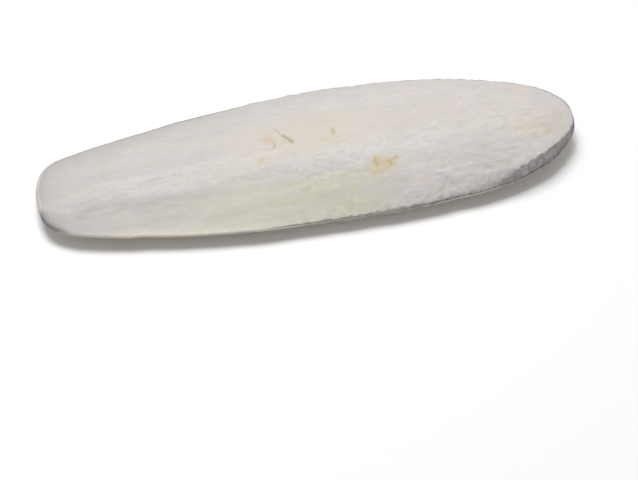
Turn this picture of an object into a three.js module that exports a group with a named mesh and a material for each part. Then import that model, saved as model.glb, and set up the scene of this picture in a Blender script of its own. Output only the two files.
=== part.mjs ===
// Cuttlebone, lying on its hard shield with the soft chalky side up.
// Millimetres. +X is the thick front end, -X the thin tail end, +Z is up, and the
// origin is on the resting surface, under the centre of the bone's bounding box.
import * as THREE from 'three';

// Overall sizes
const LENGTH = 180;
const WIDTH = 60.6;
const WIDEST_X = 1.4;           // the widest place lies near the middle
const FRONT_FULLNESS = 3.2;     // exponent that rounds the front end
const TAIL_FULLNESS = 30;       // exponent that squares off the worn tail end
const TAIL_TAPER = 0.5;         // share of the width lost on the way to the tail
const TAIL_TAPER_EXPONENT = 2.1;
const EDGE_WAVE = 0.3;          // unevenness of the worn outline
const BOW = 1.1;                // the bone is bent a little sideways, with its ends nearer
const SWING = 0.9;              // the front tip swings back to the far side
const SWING_FROM_X = 50;

// Hard shield underneath
const SHIELD_DEPTH = 4.6;       // how far the shield bellies below its rim at the middle
const FRONT_RISE = 3.0;         // how much higher the rim is at the front tip
const FRONT_RISE_EXPONENT = 4;
const TAIL_RISE = 0.4;
const TAIL_RISE_EXPONENT = 2;
const BELLY_X = 4;              // the lowest place
const KEEL_EXPONENT = 2.4;
const BELLY_EXPONENT = 2.1;
const REST_SHAVE = 0.25;        // worn flat on the lowest place, where the bone rests
const SHIELD_EDGE = 0.8;        // thickness of the shield at its rim
const LEDGE = 0.3;              // bare strip of shield between its rim and the chalk

// Chalk body on top: heights above the shield rim at stations along the bone
const STATIONS = [-90, -60, -30, 0, 30, 57, 75, 90];
const CREST_HEIGHTS = [3.0, 5.4, 7.6, 9.6, 11.0, 10.8, 9.0, 5.6];
const NEAR_WALL = [1.3, 0.6, 0.5, 0.6, 1.4, 3.2, 4.8, 2.0];
const FAR_WALL = [1.3, 0.6, 1.6, 4.0, 4.6, 3.2, 2.4, 2.0];
const CREST_Y = -3;             // the crest runs a little to the near side of the middle
const WALL_LEAN = 0.22;         // how far the side wall leans in for each unit of height
const WALL_STEP = 0.28;         // low ledges where the layers of chalk end
const STEPPED_WALL = 3;         // height from which the ledges have their full depth
const FRONT_DOME = 2.3;         // exponent of the cross section at the front
const TAIL_FLARE = 1.6;         // spread of the thin brim at the tail
const BRIM_FROM_X = -50;        // the brim gives way to the dome between these two places
const BRIM_TO_X = 40;

// Long relief of the chalk in the tail half
const RIB_HEIGHT = 0.55;
const RIB_Y = -3.5;
const RIB_SPREAD = 6;
const GROOVE_DEPTH = 0.4;
const GROOVE_Y = 5;
const GROOVE_SPREAD = 3;
const FLANK_DEPTH = 0.45;
const FLANK_Y = -14;
const FLANK_SPREAD = 4;
const RELIEF_FROM_X = -10;      // the relief fades out between these two places
const RELIEF_TO_X = 45;
const RELIEF_EDGE_EXPONENT = 6; // and towards the edge

// Mesh density
const AROUND = 120;
const BELLY_RINGS = 9;
const DOME_RINGS = 10;
const WALL_RINGS = 3;
const MEDIAL_SHARE = 0.75;      // the rings close on a line of this share of the length

function clamp(value, low, high) {
  return Math.min(high, Math.max(low, value));
}

function smooth(low, high, value) {
  const t = clamp((value - low) / (high - low), 0, 1);
  return t * t * (3 - 2 * t);
}

// Smooth curve through the heights at the stations.
function along(heights, x) {
  const last = STATIONS.length - 1;
  let k = 0;
  while (k < last - 1 && x > STATIONS[k + 1]) {
    k += 1;
  }
  const t = clamp((x - STATIONS[k]) / (STATIONS[k + 1] - STATIONS[k]), 0, 1);
  const before = heights[Math.max(0, k - 1)];
  const after = heights[Math.min(last, k + 2)];
  const slopeIn = (heights[k + 1] - before) / 2;
  const slopeOut = (after - heights[k]) / 2;
  const cube = t * t * t;
  const square = t * t;
  return (2 * cube - 3 * square + 1) * heights[k]
    + (cube - 2 * square + t) * slopeIn
    + (3 * square - 2 * cube) * heights[k + 1]
    + (cube - square) * slopeOut;
}

function halfWidth(x) {
  const half = WIDTH / 2;
  if (x > WIDEST_X) {
    const t = (x - WIDEST_X) / (LENGTH / 2 - WIDEST_X);
    return half * Math.sqrt(Math.max(0, 1 - t ** FRONT_FULLNESS));
  }
  const t = (WIDEST_X - x) / (LENGTH / 2 + WIDEST_X);
  const taper = 1 - TAIL_TAPER * t ** TAIL_TAPER_EXPONENT;
  return half * taper * Math.sqrt(Math.max(0, 1 - t ** TAIL_FULLNESS));
}

// Sideways place of the middle line.
function bow(x) {
  const forward = clamp((x - SWING_FROM_X) / (LENGTH / 2 - SWING_FROM_X), 0, 1);
  return BOW * (0.5 - (2 * x / LENGTH) ** 2) + SWING * forward ** 2;
}

// Points at even steps round the outline, from the front tip by the far side to the
// tail tip and back by the near side, then bowed and waved a little.
function outline() {
  const fine = 4000;
  const run = [0];
  const places = [new THREE.Vector2(LENGTH / 2, 0)];
  for (let k = 1; k <= fine; k += 1) {
    const x = LENGTH / 2 * Math.cos(Math.PI * k / fine);
    places.push(new THREE.Vector2(x, halfWidth(x)));
    run.push(run[k - 1] + places[k].distanceTo(places[k - 1]));
  }
  const half = AROUND / 2;
  const side = [];
  let k = 0;
  for (let i = 0; i <= half; i += 1) {
    const wanted = run[fine] * i / half;
    while (k < fine - 1 && run[k + 1] < wanted) {
      k += 1;
    }
    const share = (wanted - run[k]) / (run[k + 1] - run[k]);
    side.push(places[k].clone().lerp(places[k + 1], share));
  }
  const even = [];
  for (let i = 0; i < AROUND; i += 1) {
    const twin = i <= half ? i : AROUND - i;
    const across = i <= half ? side[twin].y : -side[twin].y;
    even.push(new THREE.Vector2(side[twin].x, across + bow(side[twin].x)));
  }
  return even.map((point, i) => {
    const turn = 2 * Math.PI * i / AROUND;
    const wave = 0.5 * Math.sin(9 * turn + 0.6) + 0.3 * Math.sin(17 * turn + 2.1)
      + 0.2 * Math.sin(29 * turn);
    return point.clone().addScaledVector(outward(even, i), EDGE_WAVE * wave);
  });
}

function outward(points, i) {
  const before = points[(i + AROUND - 1) % AROUND];
  const after = points[(i + 1) % AROUND];
  return new THREE.Vector2(after.y - before.y, before.x - after.x).normalize();
}

const rim = outline();
const rimNormals = rim.map((point, i) => outward(rim, i));

function rimHeight(x) {
  const reach = Math.abs(2 * x / LENGTH);
  const front = FRONT_RISE * reach ** FRONT_RISE_EXPONENT;
  const tail = TAIL_RISE * reach ** TAIL_RISE_EXPONENT;
  return SHIELD_DEPTH - REST_SHAVE + (x > 0 ? front : tail);
}

// Height of the side wall of the chalk, which is more worn on the near side (-Y).
function wallHeight(i, x) {
  return along(i <= AROUND / 2 ? FAR_WALL : NEAR_WALL, x);
}

// Point of the flat outline at a given distance inside the rim.
function inset(i, distance) {
  return rim[i].clone().addScaledVector(rimNormals[i], -distance);
}

// Point between a line near the middle (share 0) and an inset outline (share 1).
function spoke(i, distance, share, shift) {
  const twin = (AROUND - i) % AROUND;
  const middle = (rim[i].x + rim[twin].x) / 2 * MEDIAL_SHARE;
  return new THREE.Vector2(middle, bow(middle) + shift).lerp(inset(i, distance), share);
}

// Underside of the shield: a shallow boat with a worn flat on its lowest place.
function bellyPoint(i, share) {
  const place = spoke(i, 0, share, 0);
  const tip = Math.sign(place.x - BELLY_X) * LENGTH / 2;
  const reach = (place.x - BELLY_X) / (tip - BELLY_X);
  const keel = (rimHeight(tip) + REST_SHAVE) * reach ** KEEL_EXPONENT;
  const across = share ** BELLY_EXPONENT;
  const height = (keel - REST_SHAVE) * (1 - across) + rimHeight(place.x) * across;
  return new THREE.Vector3(place.x, place.y, Math.max(0, height));
}

// Low rib, the groove beyond it and the hollow flank, which fade out towards the front.
function longRelief(x, y, share) {
  const bump = (centre, spread) => Math.exp(-(((y - bow(x) - centre) / spread) ** 2));
  const fade = (1 - smooth(RELIEF_FROM_X, RELIEF_TO_X, x)) * (1 - share ** RELIEF_EDGE_EXPONENT);
  return fade * (RIB_HEIGHT * bump(RIB_Y, RIB_SPREAD)
    - GROOVE_DEPTH * bump(GROOVE_Y, GROOVE_SPREAD)
    - FLANK_DEPTH * bump(FLANK_Y, FLANK_SPREAD));
}

function shoulderInset(i) {
  return LEDGE + WALL_LEAN * wallHeight(i, rim[i].x);
}

// Top of the chalk, from the middle line (share 0) to the top of the side wall (share 1).
function domePoint(i, share) {
  const place = spoke(i, shoulderInset(i), share, CREST_Y);
  const wall = wallHeight(i, place.x);
  const crest = along(CREST_HEIGHTS, place.x);
  const domed = 1 - share ** FRONT_DOME;
  const flared = (1 - share ** 2) ** TAIL_FLARE;
  const front = smooth(BRIM_FROM_X, BRIM_TO_X, place.x);
  const rise = front * domed + (1 - front) * flared;
  const base = rimHeight(place.x) + SHIELD_EDGE;
  const height = base + wall + (crest - wall) * rise + longRelief(place.x, place.y, share);
  return new THREE.Vector3(place.x, place.y, height);
}

// Side of the chalk, from the shield ledge (share 0) up to just under the top edge.
function wallPoint(i, share, step) {
  const wall = wallHeight(i, rim[i].x);
  const ledge = step * WALL_STEP * clamp(wall / STEPPED_WALL, 0, 1);
  const place = inset(i, LEDGE + WALL_LEAN * wall * share + ledge);
  const base = rimHeight(rim[i].x) + SHIELD_EDGE;
  return new THREE.Vector3(place.x, place.y, base + wall * share);
}

function rimPoint(i, height) {
  return new THREE.Vector3(rim[i].x, rim[i].y, rimHeight(rim[i].x) + height);
}

function ring(pointAt) {
  return Array.from({ length: AROUND }, (unused, i) => pointAt(i));
}

// Rings from the middle of the underside, out round the rim, and back in over the top.
function boneRings() {
  const rings = [];
  for (let k = 0; k < BELLY_RINGS; k += 1) {
    rings.push(ring((i) => bellyPoint(i, k / BELLY_RINGS)));
  }
  rings.push(ring((i) => rimPoint(i, 0)));
  rings.push(ring((i) => rimPoint(i, SHIELD_EDGE)));
  for (let k = 0; k < WALL_RINGS; k += 1) {
    rings.push(ring((i) => wallPoint(i, k / WALL_RINGS, k % 2)));
  }
  for (let k = DOME_RINGS; k >= 0; k -= 1) {
    rings.push(ring((i) => domePoint(i, k / DOME_RINGS)));
  }
  return rings;
}

function skin(rings) {
  const positions = [];
  for (const points of rings) {
    for (const point of points) {
      positions.push(point.x, point.y, point.z);
    }
  }
  const faces = [];
  for (let j = 0; j < rings.length - 1; j += 1) {
    for (let i = 0; i < AROUND; i += 1) {
      const next = (i + 1) % AROUND;
      const a = j * AROUND + i;
      const b = j * AROUND + next;
      const c = a + AROUND;
      const d = b + AROUND;
      faces.push(a, b, d, a, d, c);
    }
  }
  const geometry = new THREE.BufferGeometry();
  geometry.setAttribute('position', new THREE.Float32BufferAttribute(positions, 3));
  geometry.setIndex(faces);
  geometry.computeBoundingBox();
  const centre = geometry.boundingBox.getCenter(new THREE.Vector3());
  geometry.translate(-centre.x, -centre.y, 0);
  geometry.computeVertexNormals();
  return geometry;
}

function chalk() {
  return new THREE.MeshStandardMaterial({ color: 0xd6d1c8, roughness: 0.92, metalness: 0 });
}

const cuttlebone = new THREE.Mesh(skin(boneRings()), chalk());
cuttlebone.name = 'cuttlebone';

const part = new THREE.Group();
part.add(cuttlebone);

export default part;
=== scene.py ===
import math
import random

import bpy
import numpy as np
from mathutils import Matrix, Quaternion, Vector, noise


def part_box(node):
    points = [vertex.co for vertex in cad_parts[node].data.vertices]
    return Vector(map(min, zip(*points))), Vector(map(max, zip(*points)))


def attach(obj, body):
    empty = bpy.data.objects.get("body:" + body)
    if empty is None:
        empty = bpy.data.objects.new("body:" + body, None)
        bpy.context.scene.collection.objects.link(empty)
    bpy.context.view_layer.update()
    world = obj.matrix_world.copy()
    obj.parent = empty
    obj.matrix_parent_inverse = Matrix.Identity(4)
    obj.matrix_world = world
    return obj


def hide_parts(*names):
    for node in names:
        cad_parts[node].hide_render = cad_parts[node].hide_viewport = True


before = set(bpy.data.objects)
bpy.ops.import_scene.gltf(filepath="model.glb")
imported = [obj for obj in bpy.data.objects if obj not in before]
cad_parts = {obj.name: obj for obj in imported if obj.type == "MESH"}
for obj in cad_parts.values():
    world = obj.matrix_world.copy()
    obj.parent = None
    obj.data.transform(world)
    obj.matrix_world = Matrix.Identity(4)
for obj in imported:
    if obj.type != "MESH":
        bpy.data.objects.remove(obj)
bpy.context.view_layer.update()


# The view. A long lens looks down on the near side of the bone from about 45 degrees,
# with the thick front end a little further away than the tail.
IMAGE_WIDTH_PIXELS = 638
FOCAL_PIXELS = 1400
SENSOR_WIDTH = 36
DOWN = math.radians(45.0)
TURN = math.radians(13.0)
ROLL = math.radians(0.12)
DISTANCE = 0.4405
NEAREST_SHOWN = 0.01
AIM = Vector((-0.0050, -0.0325, 0.0))

forward = Vector((math.sin(TURN) * math.cos(DOWN), math.cos(TURN) * math.cos(DOWN), -math.sin(DOWN)))
camera = bpy.data.objects.new("camera", bpy.data.cameras.new("camera"))
camera.data.sensor_width = SENSOR_WIDTH
camera.data.lens = SENSOR_WIDTH * FOCAL_PIXELS / IMAGE_WIDTH_PIXELS
camera.data.clip_start = NEAREST_SHOWN
camera.location = AIM - forward * DISTANCE
camera.rotation_mode = "QUATERNION"
camera.rotation_quaternion = forward.to_track_quat("-Z", "Y") @ Quaternion((0, 0, 1), ROLL)
bpy.context.collection.objects.link(camera)
bpy.context.scene.camera = camera


# The light. One wide soft lamp hangs above and behind the bone, a weak one fills in from
# the front, and an even pale sky lights the rest.
SKY_COLOUR = (1.0, 1.0, 1.0, 1.0)
SKY_STRENGTH = 0.36


def lamp(name, location, size, power):
    """A square lamp that faces the middle of the bone."""
    data = bpy.data.lights.new(name, "AREA")
    data.size = size
    data.energy = power
    made = bpy.data.objects.new(name, data)
    made.location = location
    made.rotation_mode = "QUATERNION"
    made.rotation_quaternion = (-Vector(location)).to_track_quat("-Z", "Y")
    bpy.context.collection.objects.link(made)


lamp("overhead lamp", (-0.06, 0.16, 0.74), size=0.40, power=4.6)
lamp("front fill", (-0.30, -0.70, 0.45), size=0.60, power=0.5)
sky = bpy.data.worlds.new("pale sky")
sky.use_nodes = True
sky.node_tree.nodes["Background"].inputs["Color"].default_value = SKY_COLOUR
sky.node_tree.nodes["Background"].inputs["Strength"].default_value = SKY_STRENGTH
bpy.context.scene.world = sky
bpy.context.scene.view_settings.view_transform = "Standard"


# The resting surface. A plain pale sheet, much wider than the view, on which the bone
# lies. It is a hair below the bone, so that the two don't share a plane.
FLOOR_REACH = 2.0
FLOOR_DROP = 0.0001
FLOOR_COLOUR = (0.96, 0.96, 0.96, 1)
FLOOR_ROUGHNESS = 0.8
FLOOR_GLOSS = 0.2

floor_mesh = bpy.data.meshes.new("floor")
floor_mesh.from_pydata(
    [(x * FLOOR_REACH, y * FLOOR_REACH, -FLOOR_DROP) for x, y in ((-1, -1), (1, -1), (1, 1), (-1, 1))],
    [],
    [(0, 1, 2, 3)],
)
floor = bpy.data.objects.new("floor", floor_mesh)
bpy.context.collection.objects.link(floor)
pale = bpy.data.materials.new("pale sheet")
pale.use_nodes = True
pale.node_tree.nodes["Principled BSDF"].inputs["Base Color"].default_value = FLOOR_COLOUR
pale.node_tree.nodes["Principled BSDF"].inputs["Roughness"].default_value = FLOOR_ROUGHNESS
pale.node_tree.nodes["Principled BSDF"].inputs["Specular IOR Level"].default_value = FLOOR_GLOSS
floor_mesh.materials.append(pale)


# The cuttlebone. One piece of chambered lime, grown layer on layer: a thin hard shield
# below, with a horny rim, and thick soft chalk above it. Its form is worked out in
# millimetres, as rings from under the middle, out round the rim and back over the chalk.
MM = 0.001
node_low, node_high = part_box("cuttlebone")
LENGTH = (node_high.x - node_low.x) / MM
WIDTH = 60.6
WIDEST_X = 1.4
FRONT_FULLNESS = 3.2
TAIL_FULLNESS = 30
TAIL_TAPER = 0.5
TAIL_TAPER_EXPONENT = 2.1
BOW = 1.1
SWING = 0.9
SWING_FROM_X = 50.0

# The worn outline wavers. Each wave has its share, its count round the rim and its phase.
EDGE_WAVE = 0.3
EDGE_WAVES = ((0.5, 9, 0.6), (0.3, 17, 2.1), (0.2, 29, 0.0))

AROUND = 840
HALF_AROUND = AROUND // 2
FINE_STEPS = 4001
turn_index = np.arange(AROUND)
twin_index = (AROUND - turn_index) % AROUND


def smooth(low, high, value):
    """0 below low, 1 above high and a smooth rise between, or a fall where low is above high."""
    t = np.clip((value - low) / (high - low), 0.0, 1.0)
    return t * t * (3 - 2 * t)


def between(low, full_low, full_high, high, value):
    """1 between the inner two limits, 0 beyond the outer two."""
    return smooth(low, full_low, value) * (1 - smooth(full_high, high, value))


def bow(x):
    past = np.clip((x - SWING_FROM_X) / (LENGTH / 2 - SWING_FROM_X), 0, 1)
    return BOW * (0.5 - (2 * x / LENGTH) ** 2) + SWING * past**2


def half_width(x):
    front = np.clip((x - WIDEST_X) / (LENGTH / 2 - WIDEST_X), 0, 1)
    tail = np.clip((WIDEST_X - x) / (LENGTH / 2 + WIDEST_X), 0, 1)
    rounded_front = np.sqrt(1 - front ** FRONT_FULLNESS)
    squared_tail = np.sqrt(1 - tail ** TAIL_FULLNESS)
    return WIDTH / 2 * rounded_front * (1 - TAIL_TAPER * tail**TAIL_TAPER_EXPONENT) * squared_tail


def outward(points):
    step = np.roll(points, -1, axis=0) - np.roll(points, 1, axis=0)
    normals = np.stack([step[:, 1], -step[:, 0]], axis=1)
    return normals / np.linalg.norm(normals, axis=1, keepdims=True)


def outline():
    """Even steps round the rim, from the front tip by the far side to the tail and back."""
    x = LENGTH / 2 * np.cos(np.linspace(0, np.pi, FINE_STEPS))
    y = half_width(x)
    run = np.concatenate([[0], np.cumsum(np.hypot(np.diff(x), np.diff(y)))])
    wanted = run[-1] * np.minimum(turn_index, AROUND - turn_index) / HALF_AROUND
    far_or_near = np.where(turn_index <= HALF_AROUND, 1, -1)
    x_here = np.interp(wanted, run, x)
    points = np.stack([x_here, far_or_near * np.interp(wanted, run, y) + bow(x_here)], axis=1)
    turn = 2 * np.pi * turn_index / AROUND
    wave = sum(part * np.sin(count * turn + phase) for part, count, phase in EDGE_WAVES)
    return points + outward(points) * (EDGE_WAVE * wave)[:, None], wanted * far_or_near


rim, rim_run = outline()
rim_normals = outward(rim)
rim_middle = (rim.max(axis=0) + rim.min(axis=0)) / 2


def rough(*coordinates, octaves=3):
    """Fractal noise, about -1 to 1, at points whose coordinates are given in wavelengths."""
    x, y, z = np.broadcast_arrays(*coordinates, *[0.0] * (3 - len(coordinates)))
    points = zip(x.ravel(), y.ravel(), z.ravel())
    values = [noise.fractal(point, 1.0, 2.0, octaves) for point in points]
    return np.array(values).reshape(x.shape)


# Heights above the shield's rim, at stations from the tail to the front.
STATIONS = np.array([-90.0, -60.0, -30.0, 0.0, 30.0, 57.0, 75.0, 90.0])
CREST_HEIGHTS = np.array([3.0, 5.4, 7.6, 9.6, 11.0, 10.8, 9.0, 5.6])
NEAR_WALL = np.array([1.3, 0.6, 0.5, 0.6, 1.4, 3.2, 4.8, 2.0])
FAR_WALL = np.array([1.3, 0.6, 1.6, 4.0, 4.6, 3.2, 2.4, 2.0])
CREST_Y = -3.0
SHIELD_DEPTH = 4.6
FRONT_RISE = 3.0
FRONT_RISE_EXPONENT = 4
TAIL_RISE = 0.4
TAIL_RISE_EXPONENT = 2
REST_SHAVE = 0.25
SHIELD_EDGE = 0.8
MEDIAL_SHARE = 0.75


def along(heights, x):
    """A smooth curve through the heights at the stations."""
    last = len(STATIONS) - 1
    k = np.clip(np.searchsorted(STATIONS, x) - 1, 0, last - 1)
    t = np.clip((x - STATIONS[k]) / (STATIONS[k + 1] - STATIONS[k]), 0, 1)
    slope_in = (heights[k + 1] - heights[np.maximum(k - 1, 0)]) / 2
    slope_out = (heights[np.minimum(k + 2, last)] - heights[k]) / 2
    rise = 3 * t**2 - 2 * t**3
    bend_in = t**3 - 2 * t**2 + t
    bend_out = t**3 - t**2
    return heights[k] * (1 - rise) + heights[k + 1] * rise + bend_in * slope_in + bend_out * slope_out


def rim_height(x):
    reach = np.abs(2 * x / LENGTH)
    rise = np.where(x > 0, FRONT_RISE * reach**FRONT_RISE_EXPONENT, TAIL_RISE * reach**TAIL_RISE_EXPONENT)
    return SHIELD_DEPTH - REST_SHAVE + rise


def wall_height(x):
    return np.where(turn_index <= HALF_AROUND, along(FAR_WALL, x), along(NEAR_WALL, x))


def inset(distance):
    return rim - rim_normals * np.reshape(distance, (-1, 1))


def middle_line(shift=0.0):
    """The line near the middle of the bone on which the rings close."""
    x = (rim[:, 0] + rim[twin_index, 0]) / 2 * MEDIAL_SHARE
    return np.stack([x, bow(x) + shift], axis=1)


def spoke(distance, share, shift=0.0):
    """A ring between the middle line, at share 0, and the inset rim, at share 1."""
    middle = middle_line(shift)
    return middle + (inset(distance) - middle) * share


# The hard shield. A shallow boat of close grains, grown as one with the chalk above it,
# worn flat where it rests, and with a thin horny edge that is a little frayed.
BELLY_X = 4.0
KEEL_EXPONENT = 2.4
BELLY_EXPONENT = 2.1
BELLY_RINGS = 30
GRAIN_SIZE = 1.9
GRAIN_HEIGHT = 0.11
GRAIN_FADE = (0.75, 0.95)
MARGIN_HORN = 0.5
MARGIN_FADE = (0.88, 0.99)
RIM_FRAY = 0.16
FRAY_SIZE = 2.4
UNDERCUT = 0.12
LIP = 0.3
BEVEL_FROM = 0.45

fray = RIM_FRAY * (0.55 + 0.45 * rough(rim[:, 0] / FRAY_SIZE, rim[:, 1] / FRAY_SIZE, octaves=4))
rings = []
masks = {name: [] for name in ("shield", "horn", "side", "broken", "thin", "hollow", "stain", "dull")}


def add_ring(ring, z, **values):
    """One ring of the skin, with what it has of each mask of the finish."""
    rings.append(np.column_stack([ring, z]))
    for name, ring_values in masks.items():
        ring_values.append(np.broadcast_to(values.get(name, 0.0), AROUND))


for k in range(BELLY_RINGS):
    share = k / BELLY_RINGS
    ring = spoke(fray, share)
    x, y = ring.T
    tip = np.where(x > BELLY_X, 1, -1) * LENGTH / 2
    keel = (rim_height(tip) + REST_SHAVE) * ((x - BELLY_X) / (tip - BELLY_X)) ** KEEL_EXPONENT
    across = share**BELLY_EXPONENT
    height = (keel - REST_SHAVE) * (1 - across) + rim_height(x) * across
    grains = GRAIN_HEIGHT * (0.5 + 0.5 * rough(x / GRAIN_SIZE, y / GRAIN_SIZE, octaves=2))
    height = height + grains * (1 - smooth(*GRAIN_FADE, share))
    add_ring(ring, np.maximum(0, height), shield=1.0, horn=MARGIN_HORN * smooth(*MARGIN_FADE, share))

# Along the tail half, the rim and the chalk are worn together to a soft pale edge, and the horn under it
# shows as a thin line. The front is broken, and the tail's near corner and the middle of the near rim are
# painted grey as shade.
NEAR_SIDE_BLEND = (0, 6)
SOFT_NEAR_TO_X = (-26, -12)
SOFT_FAR_TO_X = (-62, -34)
CORNER_X = (-80, -86)
CORNER_Y = (4, 9)
CREAM_FROM_X = (-84, -72)
BROKEN_FROM_X = (53, 60)
RIM_GREY_X = (-14, -2, 30, 40)
HORN_PATCH = 7.0
GREY_PATCH = 3.0

rim_x, rim_y = rim.T
rim_z = rim_height(rim_x)
near_side = smooth(*NEAR_SIDE_BLEND, bow(rim_x) - rim_y)
soft_near = near_side * (1 - smooth(*SOFT_NEAR_TO_X, rim_x))
soft_far = (1 - near_side) * (1 - smooth(*SOFT_FAR_TO_X, rim_x))
tail_corner = smooth(*CORNER_X, rim_x) * smooth(*CORNER_Y, bow(rim_x) - rim_y)
soft_edge = (soft_near + soft_far) * (1 - tail_corner)
cream_edge = soft_edge * near_side * smooth(*CREAM_FROM_X, rim_x)
rim_broken = np.maximum(smooth(*BROKEN_FROM_X, rim_x), tail_corner)
horn = (1 - rim_broken) * np.clip(0.8 + 0.5 * rough(rim_run / HORN_PATCH, 2.2), 0, 1)
# The middle of the near rim takes the side's grey: its own grey with painted shade.
rim_grey_shade = between(*RIM_GREY_X, rim_x) * near_side
rim_grey_shade = np.maximum(rim_broken, rim_grey_shade * (0.75 + 0.5 * rough(rim_run / GREY_PATCH, 5.1)))
bevel = 0.1 + 0.35 * soft_edge
above = {"shield": 1 - soft_edge, "broken": rim_grey_shade}
add_ring(inset(fray + UNDERCUT), rim_z, shield=1.0, horn=horn, broken=rim_broken)
add_ring(inset(fray), rim_z + LIP, shield=1.0, horn=horn, broken=rim_broken)
add_ring(inset(fray + 0.3 * bevel), rim_z + BEVEL_FROM, thin=0.5 * cream_edge, **above)
add_ring(inset(fray + bevel), rim_z + SHIELD_EDGE, thin=cream_edge, **above)


# The side of the chalk. The broken ends of its layers, steep and granular at the front,
# rolled over next to it, and worn to a low crumbling edge along the rest of the near side.
WALL_RINGS = 16
LEDGE = 0.3
WALL_LEAN = 0.22
WORN_LEAN = 0.8
LAYER_RUN = 14.0
LAYER_THICKNESS = 0.8
LAYER_STEP = 0.14
LAYER_SHARPNESS = 3
CRUMBLED_X = (-35, 5, 66, 82)
ROLLED_X = (14, 34, 54, 63)
ROLLED_DEPTH = 2.2
ROLLED_REACH = 1.5
ROLLED_WALL = (0.8, 2.6)
LOWEST_WALL = 0.25
TALL_WALL = (0.8, 2.8)
CHIP_SIZE = 2.2
CHIP_DEPTH = 1.0
CHIP_EXPONENT = 1.2
BUMP_SIZE = 2.8
BUMP_HEIGHT = 0.9
LEDGE_SIZE = 1.8
CRUMB_SIZE = (2.4, 1.2)
CRUMB_DEPTH = 0.26
CRUMB_PROUD = 0.15
BROKEN_LAYERS_X = (18, 46)
GAP_HEIGHT = 0.7

crumbled = between(*CRUMBLED_X, rim_x) * (0.4 + 0.6 * near_side)
rolled = between(*ROLLED_X, rim_x) * near_side
chips = rough(rim_run / CHIP_SIZE, 3.1, octaves=5)
chips = CHIP_DEPTH * crumbled * np.clip(chips + 0.1, 0, 1) ** CHIP_EXPONENT
full_wall = wall_height(rim_x)
sunk = ROLLED_DEPTH * rolled * smooth(*ROLLED_WALL, full_wall)
bumps = BUMP_HEIGHT * crumbled * (1 - rolled) * np.clip(rough(rim_run / BUMP_SIZE, 9.9), 0, 1)
wall = np.maximum(full_wall + bumps - chips - sunk, LOWEST_WALL + 0.5 * rolled)
tall = smooth(*TALL_WALL, wall)
broken = np.maximum(smooth(*BROKEN_LAYERS_X, rim_x), tail_corner)
ledge = LEDGE * (1 - 0.8 * soft_edge + 0.9 * crumbled * rough(rim_run / LEDGE_SIZE, 8.3))
lean = WALL_LEAN + WORN_LEAN * soft_edge
for k in range(WALL_RINGS):
    share = k / WALL_RINGS
    round_up = np.sin(share * np.pi / 2)
    round_in = 1 - np.cos(share * np.pi / 2)
    height = wall * (share + soft_edge * (round_up - share))
    lean_in = lean * wall * (share + soft_edge * (round_in - share))
    layer = rough(rim_run / LAYER_RUN, height / LAYER_THICKNESS, 7.7, octaves=2)
    stepped = LAYER_STEP * tall * (0.5 + 0.5 * np.tanh(LAYER_SHARPNESS * layer))
    crumbs = CRUMB_DEPTH * tall * rough(rim_run / CRUMB_SIZE[0], height / CRUMB_SIZE[1], 1.7)
    distance = fray + ledge + lean_in + stepped + np.maximum(crumbs, -CRUMB_PROUD)
    # Painted shade in the cracks between the layers and in the gap at the foot of the broken wall.
    crack = np.clip(-layer, 0, 1) * tall
    gap = np.exp(-height / GAP_HEIGHT) * broken * (1 - rim_broken)
    add_ring(
        inset(distance), rim_z + SHIELD_EDGE + height, side=1 - soft_edge, thin=cream_edge,
        broken=broken, hollow=np.maximum(0.5 * crack, gap),
    )


# The top of the chalk. A low dome, laid down in thin layers, with a faint long rib, a thin
# flared brim at the tail, wrinkles that follow the edge, and the marks it has picked up.
DOME_RINGS = 66
RING_CROWDING = 1.15
FRONT_DOME = 2.3
TAIL_FLARE = 1.6
FLARED_X = (-50, 40)
TOP_MARGIN = 0.2

# Long low forms, each with its height, the line that it follows and its spread.
RIB = {"height": 0.55, "y": -3.5, "spread": 6.0}
GROOVE = {"height": -0.4, "y": 5.0, "spread": 3.0}
FLANK = {"height": -0.45, "y": -14.0, "spread": 4.0}
LONG_FORMS_X = (-10, 45)
LONG_FORMS_EDGE = 6
BROW_Y = -11.0
BROW_SLANT = 0.045
BROW_HEIGHT = 0.20
BROW_SPREAD = 3.2
TROUGH_STEP = 5.0
TROUGH_DEPTH = 0.25
TROUGH_SPREAD = 2.6
BROW_TO_X = (30, 50)
BROW_EDGE = 8

# The relief, each with its height, its size along and across, and where it lies.
RELIEF_EDGE = 1.5
BROAD_HEIGHT = 0.20
BROAD_SIZE = (24, 15)
DIMPLE_HEIGHT = 0.22
DIMPLE_FRONT_LOSS = 0.10
DIMPLE_SIZE = (9, 4.5)
DIMPLE_FRONT_X = (30, 60)
STREAK_HEIGHT = 0.20
STREAK_FRONT_LOSS = 0.09
STREAK_SIZE = (24, 2.6)
WRINKLE_HEIGHT = 0.16
WRINKLE_SIZE = (5.0, 1.6)
WRINKLE_FROM_X = (10, 34)
WRINKLE_FROM_EDGE = 7.0
WRINKLE_SPREAD = 8.0
LUMPY_X = (14, 34, 58, 68)
SCALLOP_HEIGHT = 0.70
SCALLOP_SIZE = (4.0, 2.2)
SCALLOP_SPREAD = 2.8
FOLD_HEIGHT = 0.50
FOLD_SIZE = (5.5, 1.9)
FOLD_FROM_X = (26, 40)
FOLD_FROM_EDGE = 5.5
FOLD_SPREAD = 4.0
FOLD_SLANT = (0.3, 0.25)
CRINKLE_HEIGHT = 0.60
CRINKLE_SIZE = (3.4, 1.4)
CRINKLE_CENTRE = (3, -14.5)
CRINKLE_SPREAD = (12, 5)
GRIT_HEIGHT = 0.11
GRIT_SIZE = (3.4, 1.8)
EDGE_CRUMB_SIZE = (2.0, 1.5)
EDGE_CRUMB_SPREAD = 2.2
EDGE_BUMP_HEIGHT = 0.5
EDGE_PIT_DEPTH = 0.6

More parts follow.
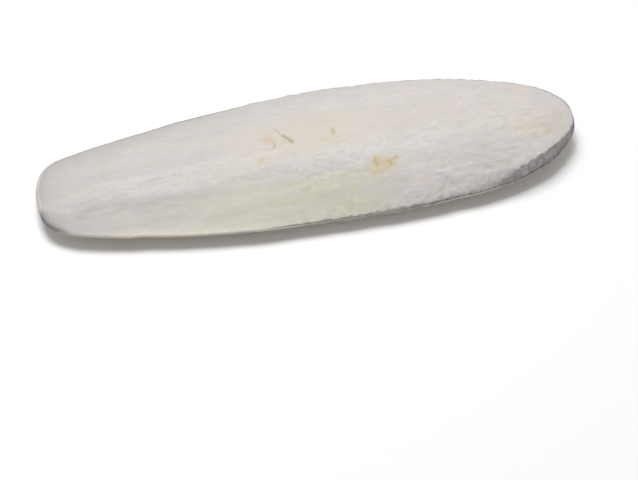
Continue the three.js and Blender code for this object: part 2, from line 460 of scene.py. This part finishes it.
# Each scratch: its two ends, its half width and its depth. Their sides are ragged.
SCRATCHES = [
    ((-11.0, 8.7), (-8.6, 3.4), 0.30, 0.18),
    ((-8.8, 3.8), (-6.5, -1.2), 0.46, 0.36),
    ((-12.4, 0.8), (-12.6, -1.6), 0.55, 0.12),
    ((-12.6, -1.6), (-13.8, -3.4), 0.45, 0.08),
    ((-16.4, -5.8), (-19.2, -8.2), 0.40, 0.05),
    ((34.2, -27.6), (36.6, -26.7), 0.30, 0.13),
    ((36.6, -26.7), (39.0, -24.0), 0.26, 0.11),
    ((7.5, 2.2), (6.8, -1.4), 0.50, 0.11),
]
RAGGED = 0.25
RAGGED_SIZE = 0.9

# Each stain: its centre, its half length and half width, and its strength.
STAINS = [
    ((-13.6, 2.8), (3.6, 2.6), 0.62),
    ((-8.0, 0.4), (3.0, 3.4), 0.40),
    ((-12.6, -0.6), (1.3, 2.4), 0.60),
    ((-18.0, -7.2), (2.2, 2.2), 0.44),
    ((5.6, 5.8), (2.4, 1.4), 0.34),
    ((7.1, 0.6), (1.3, 3.0), 0.66),
    ((4.6, -2.8), (3.4, 1.8), 0.44),
    ((19.8, -16.8), (5.4, 3.6), 0.60),
    ((17.4, -15.4), (1.6, 2.2), 0.96),
    ((21.7, -16.6), (2.2, 2.0), 0.94),
    ((24.2, -15.2), (1.5, 1.3), 0.80),
    ((16.4, -18.6), (1.8, 1.3), 0.62),
    ((-1.6, -12.3), (1.6, 1.4), 0.56),
    ((-4.3, -13.6), (2.4, 1.8), 0.40),
    ((73.5, -12.0), (6.0, 4.0), 0.40),
]

# Small pits, scattered over the whole face: their places, radii and depths.
PIT_COUNT = 60
PIT_X = (-80, 82)
PIT_REACH = 0.85
PIT_RADIUS = (0.3, 0.6)
PIT_DEPTH = (0.02, 0.07)

dice = random.Random(11)
pits = []
for _ in range(PIT_COUNT):
    pit_x = dice.uniform(*PIT_X)
    pit_y = dice.uniform(-PIT_REACH, PIT_REACH) * float(half_width(pit_x))
    pits.append((pit_x, pit_y, dice.uniform(*PIT_RADIUS), dice.uniform(*PIT_DEPTH)))

# Where the edge's finish, the painted shade near the edges and the darkening towards the far edge reach on to
# the face: how wide, and over which part of it.
HOLLOW_FULL_DEPTH = 0.35
THIN_REACH = 1.3
THIN_TO_X = (-25, 15)
GREY_REACH = 0.3
GREY_CORNER_REACH = 0.9
GREY_FRONT_REACH = 0.5
GREY_FRONT_X = (40, 54, 60, 66)
FAR_DARK_REACH = 4.0
FAR_DARK_FADE_X = (-40, -10)
FAR_DARK_TO_X = (25, 40)
NEAR_SHADE_REACH = 6.0
NEAR_SHADE_TO_X = (-60, -76)


def hill(value, spread):
    return np.exp(-((value / spread) ** 2))


def ripple(x, y, size, seed, octaves=3):
    """Noise with the given size along and across."""
    return rough(x / size[0], y / size[1], seed, octaves=octaves)


def long_form(shape, x, y):
    return shape["height"] * hill(y - bow(x) - shape["y"], shape["spread"])


def to_line(x, y, start, end):
    """Distance from each point to a straight line between two ends."""
    run_x, run_y = end[0] - start[0], end[1] - start[1]
    t = np.clip(((x - start[0]) * run_x + (y - start[1]) * run_y) / (run_x**2 + run_y**2), 0, 1)
    return np.hypot(x - start[0] - t * run_x, y - start[1] - t * run_y)


shoulder = fray + ledge + lean * wall
span = np.linalg.norm(inset(shoulder) - middle_line(CREST_Y), axis=1)
for k in range(DOME_RINGS, -1, -1):
    share = 1 - (1 - k / DOME_RINGS) ** RING_CROWDING
    ring = spoke(shoulder, share, CREST_Y)
    x, y = ring.T
    from_edge = (1 - share) * span
    edge_wall = wall_height(x) - (full_wall - wall) * np.exp(-from_edge / (1.0 + ROLLED_REACH * rolled))
    crest = along(CREST_HEIGHTS, x)
    front = smooth(*FLARED_X, x)
    rise = front * (1 - share**FRONT_DOME) + (1 - front) * (1 - share**2) ** TAIL_FLARE
    height = rim_height(x) + SHIELD_EDGE + edge_wall + (crest - edge_wall) * rise
    fade = (1 - smooth(*LONG_FORMS_X, x)) * (1 - share**LONG_FORMS_EDGE)
    height = height + fade * (long_form(RIB, x, y) + long_form(GROOVE, x, y) + long_form(FLANK, x, y))
    from_brow = y - (BROW_Y - BROW_SLANT * x)
    brow = BROW_HEIGHT * hill(from_brow, BROW_SPREAD)
    trough = TROUGH_DEPTH * hill(from_brow + TROUGH_STEP, TROUGH_SPREAD)
    height = height + (1 - smooth(*BROW_TO_X, x)) * (1 - share**BROW_EDGE) * (brow - trough)

    inner = 1 - np.exp(-from_edge / RELIEF_EDGE)
    broad = BROAD_HEIGHT * ripple(x, y, BROAD_SIZE, 0.3, octaves=2)
    dimple_height = DIMPLE_HEIGHT - DIMPLE_FRONT_LOSS * smooth(*DIMPLE_FRONT_X, x)
    dimples = dimple_height * ripple(x, y, DIMPLE_SIZE, 7.1, octaves=2)
    streaks = (STREAK_HEIGHT - STREAK_FRONT_LOSS * front) * ripple(x, y, STREAK_SIZE, 5.2)
    wrinkled = near_side * smooth(*WRINKLE_FROM_X, x) * hill(from_edge - WRINKLE_FROM_EDGE, WRINKLE_SPREAD)
    wrinkles = WRINKLE_HEIGHT * wrinkled * ripple(rim_run, from_edge, WRINKLE_SIZE, 2.4)
    scalloped = hill(from_edge, SCALLOP_SPREAD)
    scallops = SCALLOP_HEIGHT * scalloped * ripple(x + y, x - y, SCALLOP_SIZE, 6.1)
    folded = hill(from_edge - FOLD_FROM_EDGE, FOLD_SPREAD) * smooth(*FOLD_FROM_X, x)
    folds_at = x - FOLD_SLANT[0] * y, y + FOLD_SLANT[1] * x
    folds = FOLD_HEIGHT * folded * ripple(*folds_at, FOLD_SIZE, 9.4)
    lumpy = near_side * between(*LUMPY_X, x) * (scallops + folds)
    crinkled = hill(x - CRINKLE_CENTRE[0], CRINKLE_SPREAD[0]) * hill(y - CRINKLE_CENTRE[1], CRINKLE_SPREAD[1])
    crinkles = CRINKLE_HEIGHT * crinkled * ripple(x - y, x + y, CRINKLE_SIZE, 3.9)
    grit = GRIT_HEIGHT * ripple(x, y, GRIT_SIZE, 8.8)
    relief = broad + dimples + streaks + wrinkles + lumpy + crinkles + grit
    edge_crumbs = crumbled * np.exp(-from_edge / EDGE_CRUMB_SPREAD) * ripple(x, y, EDGE_CRUMB_SIZE, 4.4)
    edge_pits = np.clip(edge_crumbs, 0, 1)
    edge_bumps = np.clip(-edge_crumbs, 0, 1) * inner
    height = height + relief * inner + EDGE_BUMP_HEIGHT * edge_bumps - EDGE_PIT_DEPTH * edge_pits - TOP_MARGIN

    mark_x, mark_y = (ring - rim_middle).T
    carved = np.zeros(AROUND)
    for pit_x, pit_y, radius, depth in pits:
        carved += depth * np.exp(-(((x - pit_x) ** 2 + (y - pit_y) ** 2) / radius**2))
    ragged = RAGGED * rough(x / RAGGED_SIZE, y / RAGGED_SIZE, 6.6, octaves=2)
    for start, end, width, depth in SCRATCHES:
        from_line = to_line(mark_x, mark_y, start, end)
        carved += depth * np.exp(-((from_line + ragged * width) / width) ** 2)
    stain = np.zeros(AROUND)
    for centre, reach, strength in STAINS:
        spread = ((mark_x - centre[0]) / reach[0]) ** 2 + ((mark_y - centre[1]) / reach[1]) ** 2
        stain = np.maximum(stain, strength * np.exp(-spread))

    thin = np.exp(-from_edge / THIN_REACH) * near_side
    thin = thin * (1 - smooth(*THIN_TO_X, x)) * smooth(*CREAM_FROM_X, x)
    # The side's grey, with its painted shade, reaches on to the face near the edge, further at the tail's
    # corner and on the rolled-over front edge.
    greyed = GREY_REACH + GREY_CORNER_REACH * tail_corner
    greyed = greyed + GREY_FRONT_REACH * between(*GREY_FRONT_X, x) * near_side
    at_edge = np.exp(-from_edge / greyed)
    # Darker towards the far edge, and painted shade along the near edge at the tail.
    far_dull = np.exp(-from_edge / FAR_DARK_REACH) * (1 - 0.5 * smooth(*FAR_DARK_FADE_X, x))
    far_dull = far_dull * (1 - smooth(*FAR_DARK_TO_X, x))
    near_dull = 0.7 * np.exp(-from_edge / NEAR_SHADE_REACH) * smooth(*NEAR_SHADE_TO_X, x)
    dull = far_dull + (near_dull - far_dull) * near_side
    add_ring(
        ring, height - carved, side=(1 - soft_edge) * at_edge, broken=broken * at_edge, thin=thin,
        hollow=np.clip(carved / HOLLOW_FULL_DEPTH + 0.6 * edge_pits, 0, 1), stain=stain, dull=dull,
    )


# The closed skin. The bone is one piece, so the rings become one closed mesh. The first
# and the last ring are folded on the middle line, where their two sides share points.
def fold(ring):
    return (ring + ring[twin_index]) / 2


points = np.array(rings)
points[0] = fold(points[0])
points[-1] = fold(points[-1])
folded_index = np.minimum(turn_index, AROUND - turn_index)
folded_count = HALF_AROUND + 1
inner_rings = len(rings) - 2
index = np.empty((len(rings), AROUND), int)
index[0] = folded_index
index[1:-1] = folded_count + np.arange(inner_rings * AROUND).reshape(inner_rings, AROUND)
index[-1] = folded_count + inner_rings * AROUND + folded_index


def shared(values):
    """The rings' values with one row for each point of the skin."""
    first, last = values[0, :folded_count], values[-1, :folded_count]
    return np.concatenate([first, *values[1:-1], last])


vertices = shared(points)
vertices[:, :2] -= rim_middle
following = np.roll(index, -1, axis=1)
faces = np.stack([index[:-1], following[:-1], following[1:], index[1:]], axis=-1).reshape(-1, 4)

skin = bpy.data.meshes.new("cuttlebone skin")
skin.from_pydata((vertices * MM).tolist(), [], faces.tolist())
for name, ring_values in masks.items():
    values = shared(np.array(ring_values, float))
    skin.attributes.new(name, "FLOAT", "POINT").data.foreach_set("value", values)
skin.shade_smooth()
skin.update()
bone = bpy.data.objects.new("cuttlebone_surface", skin)
bpy.context.collection.objects.link(bone)


# The finish of the bone. Dry white chalk, a little pink towards the front and creamy where it is thin, grey
# layered sides darkened with painted shade, and a tan horny rim round a pale grained shield. A painted
# highlight runs along the crest, and painted shade lies on the flanks, the tail and in the hollows.
class Strand:
    """One output of a material's nodes. Sums on it add Math nodes to the same tree."""

    def __init__(self, tree, output=None):
        self.tree = tree
        self.output = output

    def node(self, kind, settings=None, inputs=None, output=0):
        """Adds a node, sets it up, fills its sockets by value or link, and gives one output."""
        made = self.tree.nodes.new(kind)
        for name, value in (settings or {}).items():
            setattr(made, name, value)
        for name, value in (inputs or {}).items():
            if isinstance(value, Strand):
                self.tree.links.new(value.output, made.inputs[name])
            else:
                made.inputs[name].default_value = value
        return Strand(self.tree, made.outputs[output])

    def combine(self, operation, first, second, clamped=False):
        settings = {"operation": operation, "use_clamp": clamped}
        return self.node("ShaderNodeMath", settings, {0: first, 1: second})

    def __add__(self, other):
        return self.combine("ADD", self, other)

    __radd__ = __add__

    def __sub__(self, other):
        return self.combine("SUBTRACT", self, other)

    def __rsub__(self, other):
        return self.combine("SUBTRACT", other, self)

    def __mul__(self, other):
        return self.combine("MULTIPLY", self, other)

    __rmul__ = __mul__

    def clamp(self):
        return self.combine("ADD", self, 0.0, clamped=True)

    def band(self, low, high):
        """0 below low, 1 above high and a smooth rise between, or the reverse if low is higher."""
        inputs = {"Value": self, "From Min": low, "From Max": high}
        return self.node("ShaderNodeMapRange", {"interpolation_type": "SMOOTHSTEP"}, inputs)

    def between(self, low, full_low, full_high, high):
        """1 between the inner two limits, 0 beyond the outer two."""
        return self.band(low, full_low) * self.band(high, full_high)

    def noise(self, size, stretch=(1, 1, 1), detail=3.0, roughness=0.55):
        """Noise whose features are about size metres across, stretched along the axes."""
        scaled = tuple(1 / (size * s) for s in stretch)
        vector = self.node("ShaderNodeVectorMath", {"operation": "MULTIPLY"}, {0: self, 1: scaled})
        inputs = {"Vector": vector, "Scale": 1.0, "Detail": detail, "Roughness": roughness}
        return self.node("ShaderNodeTexNoise", None, inputs)

    def mix(self, first, second):
        """A colour between two, by this factor."""
        settings = {"data_type": "RGBA", "clamp_factor": True}
        return self.node("ShaderNodeMix", settings, {0: self, 6: first, 7: second}, output=2)


CHALK_WHITE = (0.650, 0.620, 0.602, 1)
CHALK_PINK = (0.690, 0.620, 0.608, 1)
CHALK_GREY = (0.570, 0.552, 0.535, 1)
CHALK_PAINTED_SHADE = (0.400, 0.382, 0.374, 1)
CHALK_BLUE = (0.680, 0.677, 0.668, 1)
CHALK_CREAM = (0.665, 0.600, 0.495, 1)
CHALK_FLANK_SHADE = (0.540, 0.522, 0.474, 1)
CHALK_OCHRE = (0.575, 0.555, 0.405, 1)
CHALK_HIGHLIGHT = (0.700, 0.680, 0.660, 1)
EDGE_CREAM = (0.720, 0.665, 0.560, 1)
# The greys of the sides hold painted shade as well as their own grey.
SIDE_PALE = (0.49, 0.47, 0.465, 1)
SIDE_DARK = (0.24, 0.23, 0.23, 1)
HOLLOW_SHADE = (0.16, 0.15, 0.14, 1)
STAIN_YELLOW = (0.60, 0.51, 0.33, 1)
STAIN_BROWN = (0.48, 0.37, 0.20, 1)
STAIN_OLIVE = (0.26, 0.22, 0.14, 1)
HORN_TAN = (0.30, 0.20, 0.11, 1)
SHIELD_WHITE = (0.62, 0.58, 0.50, 1)
SHIELD_SHADE = (0.50, 0.46, 0.38, 1)
CHALK_ROUGHNESS = 0.94
SHIELD_SMOOTHER = 0.35
GLOSS = 0.25
BUMP_STRENGTH = 0.8
BUMP_DISTANCE = 0.0002

# Where each tint, painted highlight and painted shade lies, in metres: the places along X and across Y where
# it starts or ends.
BROW_LINE = (-0.0165, -0.0120)
CREST_END_Y = (0.000, -0.005)
CREST_X = (-0.085, -0.065, 0.070, 0.085)
FLANK_END_Y = (-0.027, -0.021)
FLANK_END_X = (0.05, 0.0)
PINK_X = (-0.01, 0.06)
FRONT_X = (0.065, 0.080)
CREAMY = {"x": (-0.025, 0.000, 0.045, 0.070), "y": (-0.010, -0.004, 0.006, 0.013)}
YELLOWED_X = (-0.060, -0.030, 0.010, 0.028)
YELLOWED_Y = (-0.012, -0.018)
BLUISH = {"x": (-0.012, -0.004, 0.010, 0.020), "y": (-0.018, -0.014, -0.009, -0.004)}
TAIL_X = (-0.045, -0.080)
FAR_FLANK_X = (0.030, -0.040)
FAR_FLANK_Y = (0.004, 0.012)
FURROW_X = (0.005, -0.030)
FURROW_Y = (-0.0045, -0.0010, 0.0030, 0.0080)
FRONT_FLANK_SHADE = {"x": (0.034, 0.046, 0.062, 0.070), "y": (-0.023, -0.020, -0.013, -0.009)}
NEAR_TROUGH_X = (-0.030, -0.060)
NEAR_TROUGH_Y = (-0.022, -0.019, -0.014, -0.009)
WARM_MIDDLE = {"x": (-0.040, -0.020, 0.008, 0.030), "y": (-0.013, -0.007, 0.009, 0.016)}
WARM_FRONT = {"x": (0.055, 0.070, 0.086, 0.095), "y": (-0.016, -0.011, -0.005, 0.001)}

chalk = bpy.data.materials.new("chalky bone")
chalk.use_nodes = True
shader = chalk.node_tree.nodes["Principled BSDF"]
material = Strand(chalk.node_tree)
position = material.node("ShaderNodeTexCoord", output="Object")
axis_x = position.node("ShaderNodeSeparateXYZ", None, {0: position}, output="X")
axis_y = position.node("ShaderNodeSeparateXYZ", None, {0: position}, output="Y")
mask = {
    name: material.node("ShaderNodeAttribute", {"attribute_name": name}, output="Fac")
    for name in masks
}


def patch(limits):
    return axis_y.between(*limits["y"]) * axis_x.between(*limits["x"])


clouds = position.noise(0.018, detail=4.0)
colour = clouds.band(0.40, 0.70).mix(CHALK_WHITE, CHALK_GREY)
pinkness = (axis_x.band(*PINK_X) * 0.7 + clouds * 0.3).clamp()
colour = (pinkness * 0.7).mix(colour, CHALK_PINK)
skewed = axis_y + axis_x * BROW_SLANT
# A painted highlight along the crest, the part of the dome that faces the lamp most.
crest_highlight = skewed.band(*BROW_LINE) * axis_y.band(*CREST_END_Y)
colour = (crest_highlight * axis_x.between(*CREST_X) * 0.75).mix(colour, CHALK_HIGHLIGHT)
# The near flank, sloping away from the lamp, is painted darker as shade, with a real yellow-grey tint in it.
near_flank_shade = skewed.band(*reversed(BROW_LINE)) * axis_y.band(*FLANK_END_Y)
colour = (near_flank_shade * axis_x.band(*FLANK_END_X) * 0.85).mix(colour, CHALK_FLANK_SHADE)
colour = (axis_x.band(*FRONT_X) * 0.7).mix(colour, CHALK_PINK)
colour = (patch(CREAMY) * 0.45).mix(colour, CHALK_CREAM)
cool = position.noise(0.0115, stretch=(1.4, 1, 1), detail=4.0)
colour = (cool.band(0.50, 0.68) * 0.7).mix(colour, CHALK_BLUE)
tints = position.noise(0.009, stretch=(1.6, 1, 1), detail=5.0, roughness=0.6)
colour = (tints.band(0.42, 0.70) * 0.6).mix(colour, CHALK_CREAM)
rosy = position.noise(0.0075, stretch=(1.5, 1, 1), detail=4.0)
colour = (rosy.band(0.50, 0.68) * 0.6).mix(colour, CHALK_PINK)
yellowed = axis_y.band(*YELLOWED_Y) * axis_x.between(*YELLOWED_X)
colour = (yellowed * (0.25 + tints)).clamp().mix(colour, CHALK_OCHRE)
colour = (patch(BLUISH) * 0.6).mix(colour, CHALK_BLUE)
colour = mask["thin"].clamp().mix(colour, EDGE_CREAM)

# The fine growth lines, specks and dust, then the painted shade with the darkening towards the far edge, and
# the warmer places.
long_streaks = position.noise(0.0020, stretch=(14, 1, 1))
colour = (long_streaks.band(0.45, 0.70) * 0.50).mix(colour, CHALK_GREY)
specks = position.noise(0.0019, stretch=(1.6, 1, 1))
colour = (specks.band(0.45, 0.70) * 0.70).mix(colour, CHALK_GREY)
colour = (specks.band(0.50, 0.32) * 0.45).mix(colour, CHALK_CREAM)
mottle = position.noise(0.0042, stretch=(2.0, 1, 1), roughness=0.6)
colour = (mottle.band(0.45, 0.68) * 0.40).mix(colour, CHALK_GREY)
dust = position.noise(0.0008, detail=2.0)
colour = (dust.band(0.35, 0.70) * 0.35).mix(colour, CHALK_GREY)
# The tail, the far flank, the middle furrow, the front flank and the near trough are painted darker as shade.
tail_shade = axis_x.band(*TAIL_X)
far_flank_shade = axis_y.band(*FAR_FLANK_Y) * axis_x.band(*FAR_FLANK_X)
furrow_shade = axis_y.between(*FURROW_Y) * axis_x.band(*FURROW_X)
near_trough_shade = axis_y.between(*NEAR_TROUGH_Y) * axis_x.band(*NEAR_TROUGH_X)
dullness = mask["dull"] * 0.50 + tail_shade * 0.10 + far_flank_shade * 0.11 + furrow_shade * 0.13
dullness = dullness + patch(FRONT_FLANK_SHADE) * 0.12 + near_trough_shade * 0.18
colour = dullness.clamp().mix(colour, CHALK_PAINTED_SHADE)
colour = (patch(WARM_MIDDLE) * 0.27 + patch(WARM_FRONT) * 0.25).mix(colour, CHALK_CREAM)

# The stains, the grey granular sides darkened with painted shade, the painted shade in the hollows, and the
# shield with its horny rim.
blotch = position.noise(0.0026, detail=4.0, roughness=0.65).band(0.35, 0.65)
freckles = position.noise(0.0016, roughness=0.6).band(0.46, 0.60)
colour = (mask["stain"] * (0.60 + 0.8 * blotch)).band(0.02, 0.95).mix(colour, STAIN_YELLOW)
colour = (mask["stain"].band(0.35, 0.95) * freckles * 0.60).mix(colour, STAIN_BROWN)
grain_noise = position.noise(0.0021, detail=4.0, roughness=0.65)
grain = grain_noise.band(0.22, 0.75) * (1 - tail_shade * 0.8) + tail_shade * 0.25
# The grey of the broken layers, darkened further as painted shade on the steep sides and darkest at the
# tail's corner.
side_colour = grain.mix(SIDE_DARK, SIDE_PALE)
colour = (mask["side"] * (0.40 + 0.60 * mask["broken"])).mix(colour, side_colour)
# Painted shade in the pits, scratches, cracks and gap, with olive dirt where they are stained.
hollow_shade_and_dirt = (mask["stain"] * 3.0).clamp().mix(HOLLOW_SHADE, STAIN_OLIVE)
colour = (mask["hollow"] * 0.6).clamp().mix(colour, hollow_shade_and_dirt)
shield_grains = position.noise(0.0018).band(0.40, 0.62)
shield_colour = (shield_grains * 0.7).mix(SHIELD_WHITE, SHIELD_SHADE)
shield_colour = mask["horn"].clamp().mix(shield_colour, HORN_TAN)
colour = mask["shield"].mix(colour, shield_colour)
colour = mask["broken"].mix(colour, side_colour)

powder = position.noise(0.0005, detail=2.0)
pores = position.noise(0.0014)
fine_lines = position.noise(0.0007, stretch=(10, 1, 1), detail=2.0)
fine_relief = powder * 0.4 + pores + fine_lines * 0.5 + grain_noise * mask["side"] * 2.5
bump = {"Height": fine_relief, "Strength": BUMP_STRENGTH, "Distance": BUMP_DISTANCE}
normal = material.node("ShaderNodeBump", None, bump)
roughness = CHALK_ROUGHNESS - mask["shield"] * SHIELD_SMOOTHER

chalk.node_tree.links.new(colour.output, shader.inputs["Base Color"])
chalk.node_tree.links.new(normal.output, shader.inputs["Normal"])
chalk.node_tree.links.new(roughness.output, shader.inputs["Roughness"])
shader.inputs["Specular IOR Level"].default_value = GLOSS
skin.materials.append(chalk)
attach(bone, "root")
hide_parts("cuttlebone")
